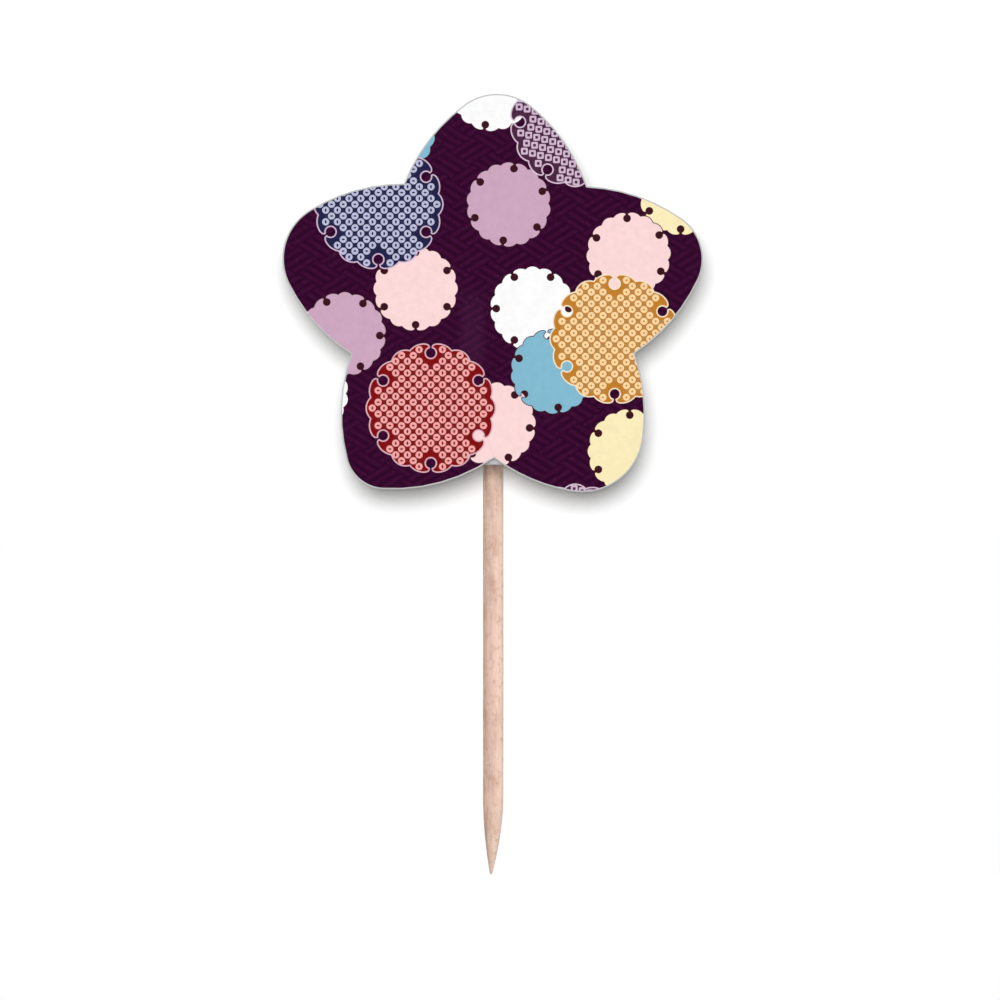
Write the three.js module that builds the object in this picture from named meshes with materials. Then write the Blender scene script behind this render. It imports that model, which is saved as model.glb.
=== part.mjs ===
// Cupcake pick: a five-lobed printed card star fixed to the top of a pointed wooden stick.
// Millimetres, +Z up. The origin is the stick's point, the stick stands along +Z,
// and the printed face of the star looks towards -Y.
import * as THREE from 'three';

// Wooden stick
const STICK_DIAMETER = 2.0; // measured across the flats of its section
const STICK_LENGTH = 65;
const STICK_SIDES = 24;
const POINT_LENGTH = 7.2;
const POINT_TIP_RADIUS = 0.1;
const POINT_FULLNESS = 1.8; // exponent of the swelling curve from the tip to the full diameter
const POINT_STEPS = 12;

// Star outline: each lobe is a round tip between two flatter flanks that end in sharp notches
const STAR_CENTRE_BELOW_STICK_TOP = 10.85;
const TIP_ARC_RADIUS = 5;
const TIP_REACH = 20.65; // from the star's centre to the end of a lobe
const NOTCH_REACH = 14.4; // from the star's centre to a notch
const FLANK_ARC_RADIUS = 17;
const TIP_ARC_STEPS = 18;
const FLANK_ARC_STEPS = 6;

// The star is drawn freehand. From the top lobe on, anticlockwise as seen from the front: how
// much rounder and longer the lobe's tip is than the sizes above, how much farther out the notch
// on its right is, and how many degrees tip and notch lean from a regular star's directions.
const LOBES = [
  { rounder: 0.2, longer: -0.2, tipLean: -1.4, farther: 0.3, notchLean: -1.7 },
  { rounder: 0.45, longer: 0.2, tipLean: 0.2, farther: 0.2, notchLean: -0.4 },
  { rounder: -1.2, longer: 0.15, tipLean: -1.35, farther: -0.15, notchLean: 0 },
  { rounder: 0.9, longer: -0.3, tipLean: 0, farther: -0.05, notchLean: 0.4, notchAtStick: true },
  { rounder: -0.3, longer: 0.1, tipLean: -1.1, farther: -0.2, notchLean: 0.2 },
];
const LOBE_STEP = 360 / LOBES.length;

// Layers of the star
const CARD_THICKNESS = 0.4;
const FILM_THICKNESS = 0.05;

// Foam pad between the card and the stick
const PAD_WIDTH = 7;
const PAD_THICKNESS = 1.5;
const PAD_LENGTH = 22;
const PAD_BELOW_NOTCH = 0.68; // how far the pad shows under the notch at the stick

// Paper label over the stick's back, glued down on the card at both sides
const LABEL_HEIGHT = 16;
const LABEL_THICKNESS = 0.12;
const LABEL_WING = 2.5; // width glued to the card on each side
const LABEL_STICK_CLEARANCE = 0.05; // beside the stick, where the paper leaves it
const LABEL_PAD_CLEARANCE = 0.15;

// Places that follow from the sizes above
const STICK_RADIUS = STICK_DIAMETER / 2;
const STAR_CENTRE_Z = STICK_LENGTH - STAR_CENTRE_BELOW_STICK_TOP;
const STICK_FRONT_Y = -STICK_RADIUS;
const STICK_BACK_Y = STICK_RADIUS;
const CARD_BACK_Y = STICK_FRONT_Y - PAD_THICKNESS;
const CARD_FRONT_Y = CARD_BACK_Y - CARD_THICKNESS;
const STICK_NOTCH = LOBES.findIndex((lobe) => lobe.notchAtStick);
const NOTCH_Z = STAR_CENTRE_Z + notchPlace(STICK_NOTCH).y;
const PAD_BOTTOM_Z = NOTCH_Z - PAD_BELOW_NOTCH;

const paperboard = new THREE.MeshStandardMaterial({ color: 0xb58fae, roughness: 0.7, metalness: 0 });
const clearFilm = new THREE.MeshStandardMaterial({ color: 0xf4f4f6, roughness: 0.15, metalness: 0 });
const foam = new THREE.MeshStandardMaterial({ color: 0xc2c0c1, roughness: 0.95, metalness: 0 });
const wood = new THREE.MeshStandardMaterial({ color: 0xdcbca9, roughness: 0.75, metalness: 0 });
const whitePaper = new THREE.MeshStandardMaterial({ color: 0xf7f6f3, roughness: 0.85, metalness: 0 });

function polar(degrees, distance) {
  const angle = THREE.MathUtils.degToRad(degrees);
  return new THREE.Vector2(distance * Math.cos(angle), distance * Math.sin(angle));
}

// The notch on a lobe's right, half a step before the lobe
function notchPlace(index) {
  const lobe = LOBES[index % LOBES.length];
  return polar(90 + LOBE_STEP * (index - 0.5) + lobe.notchLean, NOTCH_REACH + lobe.farther);
}

// Centre of a flank's circle, which holds the tip's circle, touches it, and passes through
// the notch. The side is -1 for the flank on the lobe's right and 1 for the one on its left.
function flankCentre(tip, tipRadius, notch, side) {
  const span = notch.distanceTo(tip);
  const toNotch = notch.clone().sub(tip).divideScalar(span);
  const inner = FLANK_ARC_RADIUS - tipRadius;
  const along = (inner ** 2 - FLANK_ARC_RADIUS ** 2 + span ** 2) / (2 * span);
  const across = side * Math.sqrt(inner ** 2 - along ** 2);
  return new THREE.Vector2(
    tip.x + toNotch.x * along - toNotch.y * across,
    tip.y + toNotch.y * along + toNotch.x * across,
  );
}

// Points anticlockwise round a centre, from one direction to another
function arcPoints(centre, radius, from, to, steps) {
  const sweep = THREE.MathUtils.euclideanModulo(to - from, 2 * Math.PI);
  const points = [];
  for (let i = 0; i <= steps; i += 1) {
    const angle = from + (sweep * i) / steps;
    points.push(new THREE.Vector2(centre.x + radius * Math.cos(angle), centre.y + radius * Math.sin(angle)));
  }
  return points;
}

// One lobe from the notch on its right to just before the notch on its left
function lobePoints(index) {
  const lobe = LOBES[index];
  const tipRadius = TIP_ARC_RADIUS + lobe.rounder;
  const tip = polar(90 + LOBE_STEP * index + lobe.tipLean, TIP_REACH + lobe.longer - tipRadius);
  const start = notchPlace(index);
  const end = notchPlace(index + 1);
  const right = flankCentre(tip, tipRadius, start, -1);
  const left = flankCentre(tip, tipRadius, end, 1);
  const direction = (from, to) => Math.atan2(to.y - from.y, to.x - from.x);
  const rightJoin = direction(right, tip);
  const leftJoin = direction(left, tip);
  const rise = arcPoints(right, FLANK_ARC_RADIUS, direction(right, start), rightJoin, FLANK_ARC_STEPS);
  const round = arcPoints(tip, tipRadius, rightJoin, leftJoin, TIP_ARC_STEPS);
  const fall = arcPoints(left, FLANK_ARC_RADIUS, leftJoin, direction(left, end), FLANK_ARC_STEPS);
  return [...rise.slice(0, -1), ...round, ...fall.slice(1, -1)];
}

function starShape() {
  return new THREE.Shape(LOBES.flatMap((lobe, index) => lobePoints(index)));
}

// A flat star layer whose back lies at backY and which grows towards -Y
function starLayer(name, thickness, backY, material) {
  const geometry = new THREE.ExtrudeGeometry(starShape(), { depth: thickness, bevelEnabled: false });
  geometry.rotateX(Math.PI / 2);
  const mesh = new THREE.Mesh(geometry, material);
  mesh.name = name;
  mesh.position.set(0, backY, STAR_CENTRE_Z);
  return mesh;
}

// The stick, with a flat of its section facing the pad and one facing the label
function toothpick() {
  const cornerScale = 1 / Math.cos(Math.PI / STICK_SIDES);
  const profile = [new THREE.Vector2(0, 0)];
  for (let i = 0; i <= POINT_STEPS; i += 1) {
    const t = i / POINT_STEPS;
    const swell = 1 - (1 - t) ** POINT_FULLNESS;
    const radius = POINT_TIP_RADIUS + (STICK_RADIUS - POINT_TIP_RADIUS) * swell;
    profile.push(new THREE.Vector2(radius * cornerScale, t * POINT_LENGTH));
  }
  profile.push(new THREE.Vector2(STICK_RADIUS * cornerScale, STICK_LENGTH));
  profile.push(new THREE.Vector2(0, STICK_LENGTH));
  const geometry = new THREE.LatheGeometry(profile, STICK_SIDES, Math.PI / STICK_SIDES);
  geometry.rotateX(Math.PI / 2);
  const mesh = new THREE.Mesh(geometry, wood);
  mesh.name = 'toothpick';
  return mesh;
}

function foamPad() {
  const mesh = new THREE.Mesh(new THREE.BoxGeometry(PAD_WIDTH, PAD_THICKNESS, PAD_LENGTH), foam);
  mesh.name = 'foam_pad';
  mesh.position.set(0, CARD_BACK_Y + PAD_THICKNESS / 2, PAD_BOTTOM_Z + PAD_LENGTH / 2);
  return mesh;
}

// The label lies flat on the stick's back, slopes down clear of the pad's edges and ends
// in two wings on the card. The slope is the line at slopeReach from the stick's axis,
// its normal leaning slopeLean away from +Y.
function backLabel() {
  const padCorner = new THREE.Vector2(PAD_WIDTH / 2, STICK_FRONT_Y);
  const slopeReach = STICK_RADIUS / Math.cos(Math.PI / STICK_SIDES) + LABEL_STICK_CLEARANCE;
  const padLean = Math.atan2(padCorner.y, padCorner.x);
  const slopeLean = Math.asin((slopeReach - LABEL_PAD_CLEARANCE) / padCorner.length()) - padLean;
  const slopeX = (reach, y) => (reach - y * Math.cos(slopeLean)) / Math.sin(slopeLean);
  const outerReach = slopeReach + LABEL_THICKNESS;
  const wingEnd = slopeX(slopeReach, CARD_BACK_Y) + LABEL_WING;
  const roofOuterY = STICK_BACK_Y + LABEL_THICKNESS;
  const wingOuterY = CARD_BACK_Y + LABEL_THICKNESS;
  const inner = [
    [wingEnd, CARD_BACK_Y],
    [slopeX(slopeReach, CARD_BACK_Y), CARD_BACK_Y],
    [slopeX(slopeReach, STICK_BACK_Y), STICK_BACK_Y],
  ];
  const outer = [
    [slopeX(outerReach, roofOuterY), roofOuterY],
    [slopeX(outerReach, wingOuterY), wingOuterY],
    [wingEnd, wingOuterY],
  ];
  const mirror = (points) => points.map(([x, y]) => [-x, y]).reverse();
  const section = [...outer, ...inner, ...mirror(inner), ...mirror(outer)];
  const shape = new THREE.Shape(section.map(([x, y]) => new THREE.Vector2(x, y)));
  const geometry = new THREE.ExtrudeGeometry(shape, { depth: LABEL_HEIGHT, bevelEnabled: false });
  const mesh = new THREE.Mesh(geometry, whitePaper);
  mesh.name = 'back_label';
  mesh.position.set(0, 0, STAR_CENTRE_Z - LABEL_HEIGHT / 2);
  return mesh;
}

const pick = new THREE.Group();
pick.add(
  starLayer('printed_card', CARD_THICKNESS, CARD_BACK_Y, paperboard),
  starLayer('gloss_film', FILM_THICKNESS, CARD_FRONT_Y, clearFilm),
  foamPad(),
  toothpick(),
  backLabel(),
);

export default pick;
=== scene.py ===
"""Dresses the cupcake pick: a printed card star on a pointed wooden stick.

Metres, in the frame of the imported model: the stick's point is at the origin, the stick
stands along +Z, and the printed face looks towards -Y. Named sizes are in millimetres
and turns in degrees, unless a comment says otherwise.
"""
import math
from typing import NamedTuple

import bmesh
import bpy
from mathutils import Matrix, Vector, noise
from mathutils.geometry import delaunay_2d_cdt

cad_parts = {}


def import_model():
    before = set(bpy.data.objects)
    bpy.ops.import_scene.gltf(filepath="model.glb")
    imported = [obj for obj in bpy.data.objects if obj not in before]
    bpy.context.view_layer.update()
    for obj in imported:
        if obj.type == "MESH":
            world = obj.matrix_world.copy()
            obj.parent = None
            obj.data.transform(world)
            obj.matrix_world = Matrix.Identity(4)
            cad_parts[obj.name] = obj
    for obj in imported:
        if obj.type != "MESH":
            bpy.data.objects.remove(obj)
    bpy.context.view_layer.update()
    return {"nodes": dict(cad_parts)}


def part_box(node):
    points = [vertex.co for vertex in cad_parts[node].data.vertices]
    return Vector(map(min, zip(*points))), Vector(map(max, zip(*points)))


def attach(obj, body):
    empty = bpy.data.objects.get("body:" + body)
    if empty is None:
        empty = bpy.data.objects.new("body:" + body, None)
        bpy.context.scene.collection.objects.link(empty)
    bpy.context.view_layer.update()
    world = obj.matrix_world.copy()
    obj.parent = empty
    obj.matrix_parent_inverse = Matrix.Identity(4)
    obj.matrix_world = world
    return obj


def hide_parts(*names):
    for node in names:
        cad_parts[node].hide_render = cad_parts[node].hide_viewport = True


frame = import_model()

MM = 0.001


class Kind(NamedTuple):
    """A kind of motif. The keyhole's sizes are shares of the motif's radius."""

    radius: float
    line: float
    hole: float
    half_slit: float
    steps: int  # points on each scallop


class Noise(NamedTuple):
    """A procedural noise of a material."""

    scale: float  # per metre, apart from the ground's, which is per millimetre
    detail: float
    roughness: float
    stretch: float = 1.0  # scale along Z, as a share of the scale across it


class Layer(NamedTuple):
    """A tone that a noise brings in over the tones below it."""

    noise: Noise
    low: float  # the noise's value where the tone begins
    high: float  # the noise's value where the tone is at its strength
    strength: float
    tone: tuple  # sRGB


# Star and film
STAR_CENTRE_Z = 54.15
FILM_ROLL = 0.03  # how far the film's cut edge is rolled over
# The bare strip is real; its grey ink is partly painted shade along the star's edge
PRINT_MARGIN = 0.13  # bare strip between the print and the film's edge
WELD = 0.0001  # outlines' points that are nearer than this become one
SHARPEST_TURN = 0.35  # limits how far a moved outline's sharp corners run out

# Snow-ring motif, in shares of its radius, with angles from a keyhole's axis
CUSP_REACH = 0.946
SCALLOPS = ((8.5, 11.5), (30.0, 10.0), (51.5, 11.5))  # middle and half-width of each arc
SCALLOPS_ROUND = 18
ARC_SPAN = 0.5  # an arc is part of the rim within this many radians of its middle
KEYHOLES = 6
KEYHOLE_STEP = 360.0 / KEYHOLES
HOLE_OFFSET = 0.844
FLARE_START = 0.9314
FLARE_RADIUS = 0.0524
KEYHOLE_END = 1.03
DOTTED = Kind(radius=6.235, line=0.125, hole=0.0755, half_slit=0.0139, steps=8)
PLAIN = Kind(radius=4.10, line=0.08, hole=0.0713, half_slit=0.0126, steps=6)

# Tie-dye dots of the dotted motifs: round ones on an upright grid, or squares on a turned one
DOT_GRID = 0.5587
DOT_RADIUS = 0.344
DOT_STEPS = 18
DOT_FROM_HOLE = 1.05
DOT_OVERLAP = 0.05  # how far a dot may run into the motif's line
GAP_SIDE = 0.245
UPRIGHT_HOLE = (0.092, 0.168)
FLAT_HOLE = (0.150, 0.084)
ROUND_HOLE = (0.095, 0.095)
DOT_HOLE_STEPS = 10
SQUARE_GRID_TURN = 30.0
SQUARE_DOT = (0.325, 0.12, 3)  # half side, corner radius and steps on a corner
SQUARE_HOLE = (0.135, 0.03, 1)

# Motifs from the lowest layer to the top one: style, place from the star's centre, turn
MOTIFS = (
    ("cream", 17.93, 10.99, 29.8),
    ("cream", 13.06, -13.69, 30.0),
    ("white", -0.15, 20.91, 20.2),
    ("white", -17.84, -8.16, 19.6),
    ("lavender", 1.49, 9.88, 21.5),
    ("lavender", -14.27, -2.50, 57.7),
    ("pink", -7.39, 1.85, 30.0),
    ("pink", 0.05, -11.11, 54.2),
    ("pink", 12.95, 5.10, 32.5),
    ("white", 3.77, -0.06, 0.0),
    ("sky", 5.71, -6.07, 38.6),
    ("sky", -9.54, 16.80, 57.9),
    ("blue_dotted", -10.95, 9.90, 30.0),
    ("red_dotted", -5.94, -9.56, 30.0),
    ("gold_dotted", 11.62, -2.95, 30.0),
    ("purple_dotted", 7.84, 17.77, 0.0),
    ("purple_dotted", 7.85, -23.00, 0.0),
)

# Inks as sRGB
INKS = {
    # The bare margin's grey is partly painted shade along the star's edge
    "bare_margin_edge_shade": (196, 197, 196),
    "motif_outline": (65, 20, 35),
    "motif_hole": (60, 20, 30),
    "cream": (252, 237, 188),
    "white": (252, 252, 252),
    "lavender": (205, 165, 191),
    "pink": (252, 216, 216),
    "sky": (129, 186, 209),
    "red_base": (132, 12, 16),
    "red_gap": (114, 31, 31),
    "red_dot": (243, 168, 166),
    "red_line": (224, 176, 188),
    "gold_base": (195, 126, 40),
    "gold_gap": (176, 138, 84),
    "gold_dot": (251, 216, 163),
    "gold_line": (248, 230, 200),
    "blue_base": (33, 35, 72),
    "blue_gap": (42, 41, 70),
    "blue_dot": (188, 190, 218),
    "blue_line": (210, 182, 208),
    "purple_base": (75, 38, 68),
    "purple_gap": (62, 30, 58),
    "purple_dot": (212, 184, 208),
    "purple_line": (220, 193, 215),
}
GROUND_INKS = ((47, 4, 40), (66, 11, 55))
PRINT_LEVEL = 0.945  # balances the star's lamps, so that the inks show their own tones
INK_NOISE = Noise(1500.0, 4.0, 0.6)
INK_SPAN = (0.3, 0.7)  # the noise's values where an ink is darkest and lightest
INK_LEVELS = (0.955, 1.03)  # an ink's level there
INK_ROUGHNESS = 0.55
GLOSS_ROUGHNESS = 0.07

# Ground pattern: two directions of short strokes that take turns in slanted cells
STROKE_SLANT = 32.0
STROKE_PITCH = 0.735
STROKE_CELL = 3 * STROKE_PITCH
STROKE_EDGE = (0.1, 0.4)  # where a stroke begins and is full, in pitches from the gap's middle
PATTERN_SHIFT = 400.0  # keeps the pattern's distances above zero
GROUND_NOISE = Noise(2.2, 3.0, 0.6)
GROUND_SPAN = (0.25, 0.75)  # the noise's values where strokes are faintest and fullest
FAINTEST_STROKE = 0.35  # strength of the faintest strokes

# Painted reflection: a faint pale streak in the ground, to the right of the left lobe's motifs
REFLECTION_STREAK = (("X", -2.0, 1.5), ("Z", STAR_CENTRE_Z - 2.4, 4.6))  # middle and half size each way
REFLECTION_CORE = 0.45  # part of its half size that has the full tone
REFLECTION_LEVEL = 0.036
REFLECTION_TONE = (152, 88, 140)

# Card and label, as a base tone and the layers over it
CARD_TONE = (226, 221, 214)
CARD_FLECKS = Layer(Noise(2600.0, 6.0, 0.7), 0.35, 0.65, 1.0, (240, 237, 231))
CARD_CLOUD = Layer(Noise(180.0, 3.0, 0.5), 0.3, 0.7, 0.4, (247, 245, 240))
LABEL_TONE = (236, 233, 227)
LABEL_FIBRES = Layer(Noise(3400.0, 6.0, 0.7), 0.35, 0.65, 1.0, (246, 244, 240))
LABEL_CLOUD = Layer(Noise(260.0, 3.0, 0.5), 0.3, 0.7, 0.3, (228, 224, 216))
PAPER_RELIEF = 0.01

# Foam: a clouded grey tone with darker pits. The grey is painted shade, the card's shade over the foam
# in the notch.
FOAM_SHADE_TONE = (186, 184, 186)
FOAM_CLOUD = Layer(Noise(700.0, 3.0, 0.5), 0.3, 0.7, 1.0, (196, 194, 195))
FOAM_CELLS = 5200.0  # per metre
FOAM_PIT = (0.15, 0.55)  # from a pit's middle to the edge of its floor and to its rim, in cells
FOAM_PIT_TONE = (172, 170, 172)
FOAM_RELIEF = 0.02

# Wood: a base tone, the layers over it, and a paler right side that is painted light, with the specks
# over all of them
WOOD_TONE = (203, 167, 147)
WOOD_FIBRES = Layer(Noise(5200.0, 5.0, 0.65, 0.035), 0.42, 0.62, 0.75, (229, 202, 184))
WOOD_LAYERS = (
    Layer(Noise(1100.0, 3.0, 0.5, 0.05), 0.3, 0.7, 1.0, (219, 187, 167)),
    WOOD_FIBRES,
    Layer(Noise(8200.0, 2.0, 0.4, 0.022), 0.60, 0.72, 0.3, (165, 120, 100)),
    Layer(Noise(4200.0, 3.0, 0.6), 0.5, 0.72, 0.45, (238, 219, 206)),
    Layer(Noise(860.0, 3.0, 0.6, 0.45), 0.45, 0.62, 0.74, (194, 152, 135)),
    Layer(Noise(700.0, 2.0, 0.5, 0.4), 0.44, 0.60, 0.62, (232, 195, 180)),
)
WOOD_SPECKS = Layer(Noise(2400.0, 2.0, 0.5, 0.7), 0.56, 0.68, 0.5, (190, 150, 126))
# Painted light: the stick's right side is painted paler, as if lit from the right
PAINTED_LIGHT_SIDE = (0.1, 0.8)  # from where to where it grows, right of the stick's axis
PAINTED_LIGHT_STRENGTH = 0.5
PAINTED_LIGHT_TONE = (247, 222, 204)
WOOD_RELIEF = 0.02

# Wooden stick
STICK_RADIUS = 1.0
STICK_LENGTH = 65.0
POINT_LENGTH = 7.2
POINT_TIP_RADIUS = 0.1
POINT_FULLNESS = 1.8
POINT_ROWS = 30
POINT_CROWDING = 1.3  # exponent that sets the point's rows closer towards its tip
TIP_BLUNTNESS = 0.6  # share of the tip's radius that is left on its end
POINT_DRIFT = -0.21  # how far the tip leans off the axis
DRIFT_CURVE = 1.5  # exponent of that lean along the point
STICK_OFFSET = 0.02  # how far right of the axis the stick was glued
SHAFT_ROWS = 90
SHAFT_END = 0.12  # from the stick's end to where its rounding starts
END_ROWS = ((0.04, 0.03), (0.0, 0.11))  # below the stick's end, and how far in from its side
STICK_SEGMENTS = 64
STICK_SINK = 0.028  # keeps its ridges inside the solid stick, as a share of the radius
GROOVES = (0.010, 7.0, 0.07, 0.0)  # depth in radii, noise round and along the stick, noise shift
UNEVENNESS = (0.012, 1.1, 0.16, 40.0)

# Foam pad
FOAM_GRID = 0.25
FOAM_CORNER = 0.12
FOAM_SIDE_ZONE = 0.6  # part of the corner radius that still counts as a cut side
FOAM_RAGGEDNESS = 0.05
FOAM_RAGGED_SCALE = 2.6  # noise per millimetre

# Paper label: its middle line runs flat on the card, up a slope and over a ridge to the other side
LABEL_THICKNESS = 0.12
LABEL_FLAT = (2.0, 5)  # length of the flat stretch of a wing, and its steps
LABEL_FOLD_X = 6.47  # where slope and card would meet
LABEL_FOLD_REACH = (0.5, 0.6, 6)  # of the bend there, on the card and up the slope, and its steps
LABEL_SLOPE_STEPS = 10
LABEL_RIDGE_Y = 1.297  # where the two slopes would meet
LABEL_RIDGE_REACH = (0.90, 6)  # of the bend there, down each slope, and its steps
LABEL_ROWS = 40
LABEL_RIPPLE = (0.01, 0.5, 0.35, 3.0)  # height, noise across and along the label, noise shift
LABEL_LIFT = 0.03  # of the wings' outer corners, for each millimetre past the place that follows
LABEL_LIFT_FROM = 7.6
LABEL_LIFT_CURVE = 6  # exponent that keeps the lift near the label's upper and lower ends

# Stage
BACKDROP_Y = 1.75
BACKDROP_HALF_WIDTH = 90.0
BACKDROP_TOP = 140.0
BACKDROP_FADE = (31.5, 35.0)  # heights between which plain white turns into the shaded backdrop
BACKDROP_WHITE = 0.95
FLOOR_Z = -0.3
FLOOR_HALF = 250.0
FLOOR_WHITE = 0.9
FLOOR_GLOW = 0.62

# Light levels, as the brightness that each light gives to white: white that looks towards -Y
# for the lamps with an aim, and white that faces the light for the others
WORLD_FILL = 0.21
MIRRORED_FROM = (-0.85, 0.03)  # direction along Y, and how bright the gloss shows it
MIRRORED_TO = (0.2, 0.9)
KEY_LEVEL = 0.78
KEY_AIM = (3.2, 14.4)  # azimuth and elevation
KEY_SPREAD = 30.3
FRONT_LEVEL = 0.11
FRONT_SPREAD = 6.0
BACK_LEVEL = 0.78
BACK_WAY = (0.25, -0.85, -0.45)
BACK_SPREAD = 40.0
STICK_KEY_LEVEL = 0.42
STICK_KEY_AIM = (KEY_AIM[0], 33.0)
STICK_KEY_SPREAD = 36.0
STICK_SIDE_LEVEL = 0.45
STICK_SIDE_WAY = (-0.85, 0.5, -0.1)
STICK_SIDE_SPREAD = 60.0
STICK_FRONT_LEVEL = 0.17
STICK_FRONT_AIM = (40.0, -4.0)
STICK_FRONT_SPREAD = 80.0

# Camera
PHOTO_WIDTH = 95.5
SENSOR_WIDTH = 36.0
CAMERA_X = 0.6685
CAMERA_Y = -1200.0
CAMERA_Z = 35.81


def linear(channel):
    """One 0 to 255 sRGB channel as a linear value."""
    share = channel / 255
    return share / 12.92 if share <= 0.04045 else ((share + 0.055) / 1.055) ** 2.4


def colour(rgb, level=1.0):
    return (*(min(1.0, linear(c) * level) for c in rgb), 1.0)


# Node trees
class Nodes:
    """Adds nodes to one node tree."""

    def __init__(self, tree):
        self.tree = tree

    def feed(self, socket, value):
        """Links an output to the socket, or sets the socket to a constant."""
        if isinstance(value, bpy.types.NodeSocket):
            self.tree.links.new(value, socket)
        else:
            socket.default_value = value

    def node(self, kind, inputs=None, **settings):
        """A new node. Its inputs are given by name, or by number where names repeat."""
        made = self.tree.nodes.new(kind)
        for name, value in settings.items():
            setattr(made, name, value)
        for name, value in (inputs or {}).items():
            self.feed(made.inputs[name], value)
        return made

    def math(self, operation, *values):
        return self.node("ShaderNodeMath", dict(enumerate(values)), operation=operation).outputs[0]

    def remap(self, value, low, high, to_low=0.0, to_high=1.0, **settings):
        inputs = {
            "Value": value,
            "From Min": low,
            "From Max": high,
            "To Min": to_low,
            "To Max": to_high,
        }
        return self.node("ShaderNodeMapRange", inputs, **settings).outputs[0]

    def axis(self, vector, name):
        return self.node("ShaderNodeSeparateXYZ", {"Vector": vector}).outputs[name]

    def surface(self, kind, inputs=None):
        """The shader of a new node."""
        return self.node(kind, inputs).outputs[0]

    def mixed_surface(self, factor, a, b):
        return self.surface("ShaderNodeMixShader", {0: factor, 1: a, 2: b})


class Material(Nodes):
    """A node material around one Principled shader. Its place is the point on the piece, in metres."""

    def __init__(self, name, roughness, specular):
        self.data = bpy.data.materials.new(name)
        self.data.use_nodes = True
        super().__init__(self.data.node_tree)
        self.shader = self.tree.nodes["Principled BSDF"]
        self.shader.inputs["Roughness"].default_value = roughness
        self.shader.inputs["Specular IOR Level"].default_value = specular
        self.place = self.node("ShaderNodeTexCoord").outputs["Object"]

    def mix(self, factor, a, b):
        made = self.node("ShaderNodeMix", {0: factor, 6: a, 7: b}, data_type="RGBA")
        return made.outputs[2]

    def scaled(self, vector, scale):
        return self.node("ShaderNodeMapping", {"Vector": vector, "Scale": scale}).outputs[0]

    def noise(self, kind, place=None):
        if place is None:
            place = self.scaled(self.place, (1.0, 1.0, kind.stretch))
        inputs = {
            "Vector": place,
            "Scale": kind.scale,
            "Detail": kind.detail,
            "Roughness": kind.roughness,
        }
        return self.node("ShaderNodeTexNoise", inputs).outputs["Fac"]

    def layered(self, base, *layers):
        """The base with the layers' tones over it."""
        for layer in layers:
            share = self.remap(self.noise(layer.noise), layer.low, layer.high, 0.0, layer.strength)
            base = self.mix(share, base, colour(layer.tone))
        return base

    def paint(self, value):
        self.feed(self.shader.inputs["Base Color"], value)

    def bump(self, height, relief, strength):
        inputs = {"Height": height, "Distance": relief * MM, "Strength": strength}
        self.feed(self.shader.inputs["Normal"], self.node("ShaderNodeBump", inputs).outputs[0])


# Materials
def print_material(name):
    """A matt ink under the clear glossy film."""
    made = Material(name, roughness=INK_ROUGHNESS, specular=0.0)
    made.shader.inputs["Coat Weight"].default_value = 1.0
    made.shader.inputs["Coat Roughness"].default_value = GLOSS_ROUGHNESS
    return made


def ink(name, rgb):
    """A solid ink, a little uneven as print is."""
    made = print_material(name)
    share = made.remap(made.noise(INK_NOISE), *INK_SPAN)
    made.paint(made.mix(share, *(colour(rgb, PRINT_LEVEL * level) for level in INK_LEVELS)))
    return made.data


def ground_ink():
    """The dark ground, with a tone-on-tone fret of short slanted strokes and one pale streak of painted
    reflection.
    """
    made = print_material("ink_ground")
    place = made.scaled(made.place, (1 / MM, 1 / MM, 1 / MM))
    slant = math.radians(STROKE_SLANT)
    strokes = []
    cells = []
    for side in (-1, 1):
        across = (-side * math.sin(slant), 0.0, math.cos(slant))
        dot = made.node("ShaderNodeVectorMath", {0: place, 1: across}, operation="DOT_PRODUCT")
        reach = made.math("ADD", dot.outputs["Value"], PATTERN_SHIFT)
        wave = made.math("PINGPONG", made.math("DIVIDE", reach, STROKE_PITCH), 0.5)
        strokes.append(made.remap(wave, *STROKE_EDGE))
        cells.append(made.math("FLOOR", made.math("DIVIDE", reach, STROKE_CELL)))
    checker = made.math("MODULO", made.math("ADD", *cells), 2.0)
    stroke = made.node("ShaderNodeMix", {0: checker, 2: strokes[0], 3: strokes[1]}, data_type="FLOAT")
    fading = made.remap(made.noise(GROUND_NOISE, place), *GROUND_SPAN, FAINTEST_STROKE, 1.0)
    share = made.math("MULTIPLY", stroke.outputs[0], fading)
    fret = made.mix(share, *(colour(rgb, PRINT_LEVEL) for rgb in GROUND_INKS))
    # Painted reflection: a faint pale streak mixed over the ground's colour
    reflection_masks = []
    for axis, middle, half in REFLECTION_STREAK:
        off = made.math("ABSOLUTE", made.math("SUBTRACT", made.axis(place, axis), middle))
        reflection_masks.append(made.remap(off, half, REFLECTION_CORE * half))
    painted_reflection = made.math("MULTIPLY", made.math("MULTIPLY", *reflection_masks), REFLECTION_LEVEL)
    made.paint(made.mix(painted_reflection, fret, colour(REFLECTION_TONE)))
    return made.data


def card_stock():
    made = Material("paper_card_stock", roughness=0.8, specular=0.25)
    made.paint(made.layered(colour(CARD_TONE), CARD_FLECKS, CARD_CLOUD))
    made.bump(made.noise(CARD_FLECKS.noise), PAPER_RELIEF, strength=0.5)
    return made.data


def label_paper():
    made = Material("paper_label", roughness=0.78, specular=0.3)
    made.paint(made.layered(colour(LABEL_TONE), LABEL_FIBRES, LABEL_CLOUD))
    made.bump(made.noise(LABEL_FIBRES.noise), PAPER_RELIEF, strength=0.5)
    return made.data


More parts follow.
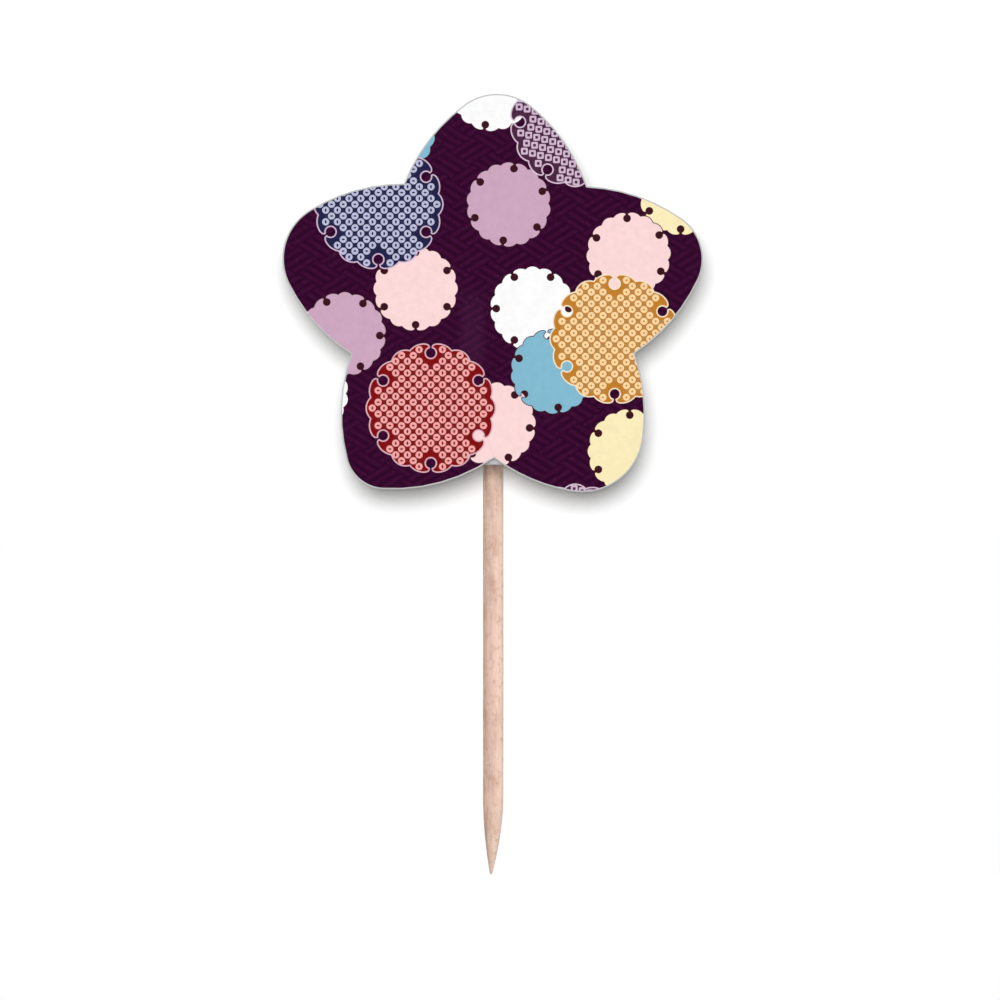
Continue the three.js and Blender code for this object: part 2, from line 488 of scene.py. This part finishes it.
def foam():
    """Fine foam: open cells that show as small dark pits. Its grey is painted shade, the card's shade
    over the foam in the notch.
    """
    made = Material("foam_grey_painted_shade", roughness=0.95, specular=0.15)
    cells = made.node("ShaderNodeTexVoronoi", {"Vector": made.place, "Scale": FOAM_CELLS})
    pits = made.remap(cells.outputs["Distance"], *FOAM_PIT)
    # Painted shade: the foam's grey tones
    tone = made.layered(colour(FOAM_SHADE_TONE), FOAM_CLOUD)
    made.paint(made.mix(pits, colour(FOAM_PIT_TONE), tone))
    made.bump(pits, FOAM_RELIEF, strength=0.3)
    return made.data


def wood():
    """Pale birch: fibres along the stick, soft patches, painted light on its right side and small dark
    specks.
    """
    made = Material("wood_birch", roughness=0.62, specular=0.3)
    base = made.layered(colour(WOOD_TONE), *WOOD_LAYERS)
    # Painted light: the wood grows paler towards the stick's right side
    from_axis, to_axis = (reach * MM for reach in PAINTED_LIGHT_SIDE)
    painted_light = made.remap(made.axis(made.place, "X"), from_axis, to_axis, 0.0, PAINTED_LIGHT_STRENGTH)
    base = made.mix(painted_light, base, colour(PAINTED_LIGHT_TONE))
    made.paint(made.layered(base, WOOD_SPECKS))
    made.bump(made.noise(WOOD_FIBRES.noise), WOOD_RELIEF, strength=0.6)
    return made.data


# Mesh pieces
def vertex(built, x, y, z):
    """A new vertex of a mesh that is being built, placed in millimetres."""
    return built.verts.new((x * MM, y * MM, z * MM))


def piece(name, built, node, materials, smooth=True):
    """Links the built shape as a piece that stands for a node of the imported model."""
    bmesh.ops.recalc_face_normals(built, faces=built.faces)
    mesh = bpy.data.meshes.new(name)
    built.to_mesh(mesh)
    built.free()
    for material in materials:
        mesh.materials.append(material)
    for polygon in mesh.polygons:
        polygon.use_smooth = smooth
    made = bpy.data.objects.new(name, mesh)
    bpy.context.scene.collection.objects.link(made)
    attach(made, "root")
    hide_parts(node)
    return made


# Outlines, in millimetres from the star's or the motif's centre, x to the right and z up
def polar(reach, degrees):
    turn = math.radians(degrees)
    return Vector((reach * math.cos(turn), reach * math.sin(turn)))


def turned(point, degrees):
    turn = math.radians(degrees)
    x = point.x * math.cos(turn) - point.y * math.sin(turn)
    return Vector((x, point.x * math.sin(turn) + point.y * math.cos(turn)))


def offset(points, distance):
    """A closed anticlockwise outline moved outwards by distance, or inwards if it is negative."""
    moved = []
    for i, point in enumerate(points):
        before = (point - points[i - 1]).normalized()
        after = (points[(i + 1) % len(points)] - point).normalized()
        normal = Vector((before.y + after.y, -before.x - after.x)).normalized()
        lean = max(SHARPEST_TURN, normal.dot(Vector((after.y, -after.x))))
        moved.append(point + normal * (distance / lean))
    return moved


def oval(half_width, half_height, steps):
    angles = (2 * math.pi * (i + 0.5) / steps for i in range(steps))
    return [Vector((half_width * math.cos(a), half_height * math.sin(a))) for a in angles]


def rounded_square(half, radius, steps):
    points = []
    for quarter in range(4):
        centre = turned(Vector((half - radius, half - radius)), 90 * quarter)
        for i in range(steps + 1):
            points.append(centre + polar(radius, 90 * quarter + 90 * i / steps))
    return points


def film_outline():
    """The film's outline, anticlockwise as seen from the front."""
    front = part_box("gloss_film")[0].y
    points = {
        (round(v.co.x / MM, 4), round(v.co.z / MM - STAR_CENTRE_Z, 4))
        for v in frame["nodes"]["gloss_film"].data.vertices
        if abs(v.co.y - front) < 0.001 * MM
    }
    return [Vector(p) for p in sorted(points, key=lambda p: math.atan2(p[1], p[0]))]


# Motifs
def scallop_reach(degrees, inset):
    """From the motif's centre to its rim moved in by inset, both in shares of its radius."""
    reach = 0.0
    for middle, half in SCALLOPS:
        depth = 1 - CUSP_REACH * math.cos(math.radians(half))
        chord = CUSP_REACH * math.sin(math.radians(half))
        radius = (depth**2 + chord**2) / (2 * depth)
        centre = 1 - radius
        off = math.radians(degrees % KEYHOLE_STEP - middle)
        inside = (radius - inset) ** 2 - (centre * math.sin(off)) ** 2
        if inside > 0 and abs(off) < ARC_SPAN:
            reach = max(reach, centre * math.cos(off) + math.sqrt(inside))
    return reach


def rim(inset, steps):
    """The scalloped rim, moved in by inset."""
    step = 360 / (SCALLOPS_ROUND * steps)
    return [polar(scallop_reach(i * step, inset), i * step) for i in range(SCALLOPS_ROUND * steps)]


def keyhole(kind, grow):
    """One keyhole on the +x axis, grown by the width of the line round it."""
    radius = kind.hole + grow
    flare = FLARE_RADIUS - grow
    centre = Vector((FLARE_START, kind.half_slit + FLARE_RADIUS))
    upper = [Vector((KEYHOLE_END, centre.y))]
    for i in range(kind.steps + 1):
        turn = -0.5 * math.pi * i / kind.steps
        upper.append(centre + flare * Vector((math.cos(turn), math.sin(turn))))
    join = math.asin((kind.half_slit + grow) / radius)
    for i in range(2 * kind.steps):
        turn = join + (math.pi - join) * i / (2 * kind.steps)
        upper.append(Vector((HOLE_OFFSET + radius * math.cos(turn), radius * math.sin(turn))))
    lower = [Vector((p.x, -p.y)) for p in reversed(upper)]
    return [*upper, Vector((HOLE_OFFSET - radius, 0.0)), *lower]


def dot_places(turn, grid_turn):
    """Grid places of a dotted motif as {(i, j): place}, for those dots that fit inside it."""
    line = DOTTED.line / DOTTED.radius
    holes = [polar(HOLE_OFFSET * DOTTED.radius, turn + KEYHOLE_STEP * k) for k in range(KEYHOLES)]
    reach = math.ceil(DOTTED.radius / DOT_GRID)
    places = {}
    for i in range(-reach, reach + 1):
        for j in range(-reach, reach + 1):
            if (i + j) % 2:
                continue
            at = turned(Vector((i * DOT_GRID, j * DOT_GRID)), grid_turn)
            angle = math.degrees(math.atan2(at.y, at.x)) - turn
            room = scallop_reach(angle, line) * DOTTED.radius - DOT_RADIUS + DOT_OVERLAP
            if at.length <= room and min((at - hole).length for hole in holes) >= DOT_FROM_HOLE:
                places[i, j] = at
    return places


def dot_hole(style, row):
    if style == "gold":
        return oval(*ROUND_HOLE, DOT_HOLE_STEPS)
    upright = (row % 2 == 0) == (style == "red")
    return oval(*(UPRIGHT_HOLE if upright else FLAT_HOLE), DOT_HOLE_STEPS)


class Sheet:
    """Outlines that are laid over each other on the star, each with a tag."""

    def __init__(self, boundary):
        self.points = []
        self.loops = []
        self.tags = []
        self.boundary = boundary

    def holds(self, at):
        """Whether a point lies inside the star."""
        inside = False
        for i, b in enumerate(self.boundary):
            a = self.boundary[i - 1]
            if (a.y > at.y) != (b.y > at.y):
                inside ^= at.x < a.x + (b.x - a.x) * (at.y - a.y) / (b.y - a.y)
        return inside

    def lay(self, points, tag):
        """Adds an outline."""
        start = len(self.points)
        self.points.extend(points)
        self.loops.append(list(range(start, start + len(points))))
        self.tags.append(tag)

    def lay_on_star(self, points, tag):
        """Adds an outline if any of about a dozen of its points lies on the star."""
        if any(self.holds(p) for p in points[:: max(1, len(points) // 12)]):
            self.lay(points, tag)

    def divided(self):
        """The outlines cut into triangles: the points, and each triangle with the tags on it."""
        cut = delaunay_2d_cdt(self.points, [], self.loops, 1, WELD, True)
        points, _, triangles, _, _, sources = cut
        tags = ({self.tags[i] for i in origin} for origin in sources)
        return points, list(zip(triangles, tags))


def lay_motif(sheet, layer, style, x, z, turn):
    colour_name, _, dotted = style.partition("_")
    kind = DOTTED if dotted else PLAIN
    centre = Vector((x, z))
    inset = kind.line / kind.radius
    for grow, rim_tag, hole_tag in ((0.0, "outer", "keyhole"), (inset, "inner", "keyhole_line")):
        around = [centre + turned(p, turn) * kind.radius for p in rim(grow, kind.steps)]
        sheet.lay_on_star(around, (layer, rim_tag))
        for k in range(KEYHOLES):
            way = turn + KEYHOLE_STEP * k
            cut = [centre + turned(p, way) * kind.radius for p in keyhole(kind, grow)]
            sheet.lay_on_star(cut, (layer, hole_tag))
    if dotted:
        lay_dots(sheet, layer, colour_name, centre, turn)


def lay_dots(sheet, layer, colour_name, centre, turn):
    """The tie-dye dots of a dotted motif, each with a small hole, and the gaps between round dots."""
    square = colour_name == "purple"
    places = dot_places(turn, SQUARE_GRID_TURN if square else 0.0)
    for (_, row), at in places.items():
        dot = rounded_square(*SQUARE_DOT) if square else oval(DOT_RADIUS, DOT_RADIUS, DOT_STEPS)
        hole = rounded_square(*SQUARE_HOLE) if square else dot_hole(colour_name, row)
        sheet.lay_on_star([centre + at + p for p in dot], (layer, "dot"))
        sheet.lay_on_star([centre + at + p for p in hole], (layer, "dot_hole"))
    if square:
        return
    half = GAP_SIDE / 2
    for i, j in {(i + 1, j) for i, j in places} | {(i - 1, j) for i, j in places}:
        around = ((i + 1, j), (i - 1, j), (i, j + 1), (i, j - 1))
        if sum(place in places for place in around) >= 3:
            at = centre + Vector((i * DOT_GRID, j * DOT_GRID))
            gap = [at + Vector(c) * half for c in ((1, 1), (-1, 1), (-1, -1), (1, -1))]
            sheet.lay_on_star(gap, (layer, "gap"))


def ink_at(tags):
    """The ink that shows where these outlines overlap, or None beyond the film."""
    if ("film", "sheet") not in tags:
        return None
    if ("film", "printed") not in tags:
        return "bare_margin_edge_shade"
    beneath = "ground"
    for layer in range(len(MOTIFS) - 1, -1, -1):
        kind, _, dotted = MOTIFS[layer][0].partition("_")
        if (layer, "outer") not in tags:
            continue
        if (layer, "keyhole") in tags:
            beneath = beneath if dotted else "motif_hole"
            continue
        if (layer, "inner") not in tags or (layer, "keyhole_line") in tags:
            return kind + "_line" if dotted else "motif_outline"
        if not dotted:
            return kind
        if (layer, "dot_hole") in tags:
            return kind + "_base"
        if (layer, "dot") in tags:
            return kind + "_dot"
        return kind + ("_gap" if (layer, "gap") in tags else "_base")
    return beneath


# Printed film
def print_face(built, sheet, y, names):
    """Builds the printed front at the depth y. Each triangle gets its ink's number in names."""
    points, triangles = sheet.divided()
    vertex_at = {}
    for triangle, tags in triangles:
        found = ink_at(tags)
        if not found:
            continue
        for i in triangle:
            if i not in vertex_at:
                vertex_at[i] = vertex(built, points[i].x, y, points[i].y + STAR_CENTRE_Z)
        built.faces.new([vertex_at[i] for i in triangle]).material_index = names.index(found)


def open_edge(built):
    """The vertices along the open edge of the faces that were built so far, in order."""
    following = {}
    for edge in built.edges:
        if len(edge.link_faces) == 1:
            loop = edge.link_loops[0]
            following[loop.vert] = loop.link_loop_next.vert
    start = next(iter(following))
    ring = [start]
    while following[ring[-1]] is not start:
        ring.append(following[ring[-1]])
    return ring


def close_film(built, front, back, slot):
    """Adds the film's rolled edge, its cut side and its flat back behind its front."""
    ring = open_edge(built)
    outward = offset([Vector((v.co.x / MM, v.co.z / MM)) for v in ring], FILM_ROLL)
    rolled = [vertex(built, p.x, front + FILM_ROLL / 2, p.y) for p in outward]
    behind = [vertex(built, p.x, back, p.y) for p in outward]
    faces = []
    for a, b in ((ring, rolled), (rolled, behind)):
        faces += [built.faces.new((a[i - 1], b[i - 1], b[i], a[i])) for i in range(len(ring))]
    sheet = Sheet(outward)
    sheet.lay(outward, "back")
    for triangle, tags in sheet.divided()[1]:
        if tags:
            faces.append(built.faces.new([behind[i] for i in reversed(triangle)]))
    for face in faces:
        face.material_index = slot


def laminated_print():
    """The film with the print under it: one thin closed plate whose front face is divided into inks."""
    low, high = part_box("gloss_film")
    front = low.y / MM
    edge = offset(film_outline(), -FILM_ROLL)
    sheet = Sheet(edge)
    sheet.lay(edge, ("film", "sheet"))
    sheet.lay(offset(edge, FILM_ROLL - PRINT_MARGIN), ("film", "printed"))
    for layer, motif in enumerate(MOTIFS):
        lay_motif(sheet, layer, *motif)
    names = ["ground", *INKS]
    materials = [ground_ink(), *(ink("ink_" + name, rgb) for name, rgb in INKS.items())]
    built = bmesh.new()
    print_face(built, sheet, front, names)
    close_film(built, front, high.y / MM, names.index("bare_margin_edge_shade"))
    return piece("laminated_print", built, "gloss_film", materials, smooth=False)


# Stick
def closed_tube(rows):
    """A mesh round rows of points, from the first row's middle to the last row's."""
    built = bmesh.new()
    rings = [[built.verts.new(p) for p in row] for row in rows]
    for low, high in zip(rings, rings[1:]):
        for i in range(len(low)):
            built.faces.new((low[i - 1], low[i], high[i], high[i - 1]))
    for end in (rings[0], rings[-1]):
        middle = sum((v.co for v in end), Vector()) / len(end)
        tip = built.verts.new(middle)
        for i in range(len(end)):
            built.faces.new((end[i - 1], end[i], tip))
    return built


def stick_row(z, radius, right):
    """A ring of points round the stick, whose middle lies this far right of the axis."""
    row = []
    for i in range(STICK_SEGMENTS):
        turn = 2 * math.pi * i / STICK_SEGMENTS
        way = Vector((math.cos(turn), math.sin(turn), 0.0))
        groove, uneven = (
            depth * noise.noise(Vector((way.x * around, way.y * around, z * along + shift)))
            for depth, around, along, shift in (GROOVES, UNEVENNESS)
        )
        reach = radius * (1 + groove + uneven - STICK_SINK)
        row.append(Vector((right + way.x * reach, way.y * reach, z)) * MM)
    return row


def wooden_stick():
    """The stick, with its drifting point, faint unevenness and fibre grooves."""
    heights = [POINT_LENGTH * (i / POINT_ROWS) ** POINT_CROWDING for i in range(POINT_ROWS)]
    shaft = STICK_LENGTH - SHAFT_END - POINT_LENGTH
    heights += [POINT_LENGTH + shaft * i / SHAFT_ROWS for i in range(SHAFT_ROWS + 1)]
    rows = []
    for z in heights:
        t = min(1.0, z / POINT_LENGTH)
        swell = 1 - (1 - t) ** POINT_FULLNESS
        radius = POINT_TIP_RADIUS + (STICK_RADIUS - POINT_TIP_RADIUS) * swell
        if z == 0:
            radius *= TIP_BLUNTNESS
        drift = POINT_DRIFT * (1 - t) ** DRIFT_CURVE
        rows.append(stick_row(z, radius, STICK_OFFSET + drift))
    for below, inwards in END_ROWS:
        rows.append(stick_row(STICK_LENGTH - below, STICK_RADIUS - inwards, STICK_OFFSET))
    return piece("wooden_stick", closed_tube(rows), "toothpick", [wood()])


# Foam pad
def foam_block():
    """The pad between card and stick, with softly rounded, slightly ragged cut sides."""
    low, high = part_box("foam_pad")
    size = high - low
    middle = (low + high) / 2
    built = bmesh.new()
    bmesh.ops.create_cube(built, size=1.0)
    for axis in range(3):
        count = max(2, round(size[axis] / (FOAM_GRID * MM)))
        normal = Vector((0, 0, 0))
        normal[axis] = 1.0
        for k in range(1, count):
            place = Vector((0, 0, 0))
            place[axis] = k / count - 0.5
            geometry = [*built.verts, *built.edges, *built.faces]
            bmesh.ops.bisect_plane(built, geom=geometry, plane_co=place, plane_no=normal)
    radius = FOAM_CORNER * MM
    for v in built.verts:
        at = Vector(v.co[i] * size[i] for i in range(3))
        core = Vector(max(-size[i] / 2 + radius, min(size[i] / 2 - radius, at[i])) for i in range(3))
        out = at - core
        if out.length > 0:
            at = core + out.normalized() * radius
        ragged = abs(noise.noise(at / MM * FOAM_RAGGED_SCALE) * FOAM_RAGGEDNESS * MM)
        for axis in (0, 2):
            if abs(at[axis]) > size[axis] / 2 - FOAM_SIDE_ZONE * radius:
                at[axis] -= math.copysign(ragged, at[axis])
        v.co = middle + at
    return piece("foam_block", built, "foam_pad", [foam()])


# Paper label
def bent(a, fold, b, steps):
    """A smooth bend from a to b, round the place where the straight lines there would meet."""
    points = []
    for i in range(steps + 1):
        t = i / steps
        points.append(a * (1 - t) ** 2 + fold * (2 * t * (1 - t)) + b * t**2)
    return points


def label_path(wing_end, wing_y):
    """The paper's middle line, from its right wing's end over the stick to its left wing's end."""
    fold = Vector((LABEL_FOLD_X, wing_y))
    ridge = Vector((0.0, LABEL_RIDGE_Y))
    slope = (fold - ridge).normalized()
    flat, flat_steps = LABEL_FLAT
    path = [Vector((wing_end - flat * i / flat_steps, wing_y)) for i in range(flat_steps)]
    on_card, on_slope, fold_steps = LABEL_FOLD_REACH
    path += bent(Vector((fold.x + on_card, wing_y)), fold, fold - slope * on_slope, fold_steps)
    down_slope, ridge_steps = LABEL_RIDGE_REACH
    leaving = ridge + slope * down_slope
    last = path[-1]
    path += [last.lerp(leaving, i / LABEL_SLOPE_STEPS) for i in range(1, LABEL_SLOPE_STEPS)]
    over = bent(leaving, ridge, Vector((-leaving.x, leaving.y)), 2 * ridge_steps)
    path += over[: ridge_steps + 1]
    return path + [Vector((-p.x, p.y)) for p in reversed(path[:-1])]


def label_ripple(x, z):
    height, across, along, shift = LABEL_RIPPLE
    return noise.noise(Vector((x * across, z * along, shift))) * height


def label_lift(x, share):
    """How far the paper has come off the card at x, this share of the way up the label."""
    return LABEL_LIFT * max(0.0, abs(x) - LABEL_LIFT_FROM) * (2 * abs(share - 0.5)) ** LABEL_LIFT_CURVE


def label_side(built, path, away, bottom, height):
    """Rows of vertices over one side of the paper, which lies this far from its middle line."""
    last = len(path) - 1
    rows = [[] for _ in range(LABEL_ROWS + 1)]
    for i, point in enumerate(path):
        way = path[min(i + 1, last)] - path[max(i - 1, 0)]
        normal = Vector((way.y, -way.x)).normalized()
        for k, row in enumerate(rows):
            z = bottom + height * (k / LABEL_ROWS)
            off = away + label_ripple(point.x, z) + label_lift(point.x, k / LABEL_ROWS)
            at = point + normal * off
            row.append(vertex(built, at.x, at.y, z))
    return rows


def paper_label():
    """The paper over the stick's back, smoothly bent, with two wings glued to the card."""
    low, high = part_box("back_label")
    half = LABEL_THICKNESS / 2
    path = label_path(high.x / MM, low.y / MM + half)
    last = len(path) - 1
    built = bmesh.new()
    bottom = low.z / MM
    height = (high.z - low.z) / MM
    under, over = (label_side(built, path, away, bottom, height) for away in (-half, half))
    for rows in (under, over):
        for a, b in zip(rows, rows[1:]):
            for i in range(last):
                built.faces.new((a[i], a[i + 1], b[i + 1], b[i]))
    for k in range(LABEL_ROWS):
        for i in (0, last):
            built.faces.new((under[k][i], over[k][i], over[k + 1][i], under[k + 1][i]))
    for i in range(last):
        for k in (0, LABEL_ROWS):
            built.faces.new((under[k][i], under[k][i + 1], over[k][i + 1], over[k][i]))
    return piece("paper_label", built, "back_label", [label_paper()])


# Stage
def grey(level):
    return (level, level, level, 1.0)


def stage_material(name):
    """A new stage material, and its nodes to build on."""
    made = bpy.data.materials.new(name)
    made.use_nodes = True
    made.node_tree.nodes.clear()
    return made, Nodes(made.node_tree)


def backdrop_material():
    """White that keeps the shadows behind the star, is plain below it, and is clear from behind."""
    made, nodes = stage_material("backdrop_white")
    shaded = nodes.surface("ShaderNodeBsdfDiffuse", {"Color": grey(BACKDROP_WHITE)})
    plain = nodes.surface("ShaderNodeEmission")
    place = nodes.node("ShaderNodeTexCoord").outputs["Object"]
    fade = (height * MM for height in BACKDROP_FADE)
    above = nodes.remap(nodes.axis(place, "Z"), *fade, interpolation_type="SMOOTHSTEP")
    shown = nodes.mixed_surface(above, plain, shaded)
    behind = nodes.node("ShaderNodeNewGeometry").outputs["Backfacing"]
    shown = nodes.mixed_surface(behind, shown, nodes.surface("ShaderNodeBsdfTransparent"))
    nodes.node("ShaderNodeOutputMaterial", {"Surface": shown})
    return made


def floor_material():
    """White that glows a little, so that it stays white where the lamps reach it at a slant."""
    made, nodes = stage_material("floor_white")
    shaded = nodes.surface("ShaderNodeBsdfDiffuse", {"Color": grey(FLOOR_WHITE)})
    glow = nodes.surface("ShaderNodeEmission", {"Strength": FLOOR_GLOW})
    shown = nodes.surface("ShaderNodeAddShader", {0: shaded, 1: glow})
    nodes.node("ShaderNodeOutputMaterial", {"Surface": shown})
    return made


def stage_plane(name, corners, material):
    """A plane that only the camera sees."""
    mesh = bpy.data.meshes.new(name)
    mesh.from_pydata([Vector(c) * MM for c in corners], [], [range(len(corners))])
    mesh.materials.append(material)
    made = bpy.data.objects.new(name, mesh)
    bpy.context.scene.collection.objects.link(made)
    made.visible_diffuse = False
    made.visible_glossy = False
    made.visible_transmission = False
    made.visible_shadow = False
    made.visible_volume_scatter = False


def backdrop():
    sides = (-BACKDROP_HALF_WIDTH, BACKDROP_HALF_WIDTH)
    lower = [(x, BACKDROP_Y, FLOOR_Z) for x in sides]
    upper = [(x, BACKDROP_Y, BACKDROP_TOP) for x in reversed(sides)]
    stage_plane("backdrop", [*lower, *upper], backdrop_material())


def floor():
    ways = ((-1, -1), (1, -1), (1, 1), (-1, 1))
    corners = [(x * FLOOR_HALF, y * FLOOR_HALF, FLOOR_Z) for x, y in ways]
    stage_plane("floor", corners, floor_material())


def world():
    """Even white light, which the gloss shows brighter towards +Y and the camera as plain white."""
    made = bpy.data.worlds.new("studio")
    bpy.context.scene.world = made
    made.use_nodes = True
    made.node_tree.nodes.clear()
    nodes = Nodes(made.node_tree)

    def light(strength):
        return nodes.surface("ShaderNodeBackground", {"Color": grey(1.0), "Strength": strength})

    rays = nodes.node("ShaderNodeLightPath").outputs
    way = nodes.axis(nodes.node("ShaderNodeTexCoord").outputs["Generated"], "Y")
    (start, dim), (end, bright) = MIRRORED_FROM, MIRRORED_TO
    mirrored = nodes.remap(way, start, end, dim, bright, interpolation_type="SMOOTHSTEP")
    lit = nodes.mixed_surface(rays["Is Glossy Ray"], light(WORLD_FILL), light(mirrored))
    straight = nodes.math("MAXIMUM", rays["Is Camera Ray"], rays["Is Transmission Ray"])
    shown = nodes.mixed_surface(straight, lit, light(1.0))
    nodes.node("ShaderNodeOutputWorld", {"Surface": shown})


# Lamps
def aimed(azimuth, elevation):
    """The way light travels that comes from the front, from above and from the left."""
    side = math.radians(azimuth)
    rise = math.radians(elevation)
    return (math.sin(side) * math.cos(rise), math.cos(side) * math.cos(rise), -math.sin(rise))


def sun(name, way, level, spread, facing=1.0):
    """A sun whose light travels along way. It gives its level to white at this cosine to it."""
    data = bpy.data.lights.new(name, "SUN")
    data.energy = math.pi * level / facing
    data.angle = math.radians(spread)
    made = bpy.data.objects.new(name, data)
    made.rotation_mode = "QUATERNION"
    made.rotation_quaternion = Vector(way).to_track_quat("-Z", "Y")
    made.visible_glossy = False
    bpy.context.scene.collection.objects.link(made)
    return made


def front_sun(name, aim, level, spread):
    """A sun that gives its level to white that looks towards -Y."""
    way = aimed(*aim)
    return sun(name, way, level, spread, way[1])


def link_light(lamp, lit, state):
    """Lights only one piece with a lamp, or keeps that lamp off the piece."""
    group = bpy.data.collections.new(lamp.name + "_link")
    group.objects.link(lit)
    lamp.light_linking.receiver_collection = group
    if state == "EXCLUDE":
        lamp.light_linking.blocker_collection = group
    group.collection_objects[0].light_linking.link_state = state


def lights(stick):
    """The lamps. Three of them light only the stick, and the key is kept off it."""
    key = front_sun("key", KEY_AIM, KEY_LEVEL, KEY_SPREAD)
    link_light(key, stick, "EXCLUDE")
    for lamp in (
        front_sun("stick_key", STICK_KEY_AIM, STICK_KEY_LEVEL, STICK_KEY_SPREAD),
        sun("stick_side", STICK_SIDE_WAY, STICK_SIDE_LEVEL, STICK_SIDE_SPREAD),
        front_sun("stick_front", STICK_FRONT_AIM, STICK_FRONT_LEVEL, STICK_FRONT_SPREAD),
    ):
        link_light(lamp, stick, "INCLUDE")
    sun("front_fill", (0.0, 1.0, 0.0), FRONT_LEVEL, FRONT_SPREAD)
    behind = sun("back_fill", BACK_WAY, BACK_LEVEL, BACK_SPREAD)
    behind.data.cycles.max_bounces = 0


def camera():
    data = bpy.data.cameras.new("camera")
    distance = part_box("gloss_film")[0].y / MM - CAMERA_Y
    data.sensor_width = SENSOR_WIDTH
    data.lens = SENSOR_WIDTH / PHOTO_WIDTH * distance
    made = bpy.data.objects.new("camera", data)
    made.location = Vector((CAMERA_X, CAMERA_Y, CAMERA_Z)) * MM
    made.rotation_euler = (math.radians(90), 0.0, 0.0)
    bpy.context.scene.collection.objects.link(made)
    bpy.context.scene.camera = made


camera()
laminated_print()
stick = wooden_stick()
foam_block()
paper_label()
card = frame["nodes"]["printed_card"]
card.data.materials.clear()
card.data.materials.append(card_stock())

backdrop()
floor()
lights(stick)
world()

bpy.context.scene.view_settings.view_transform = "Standard"
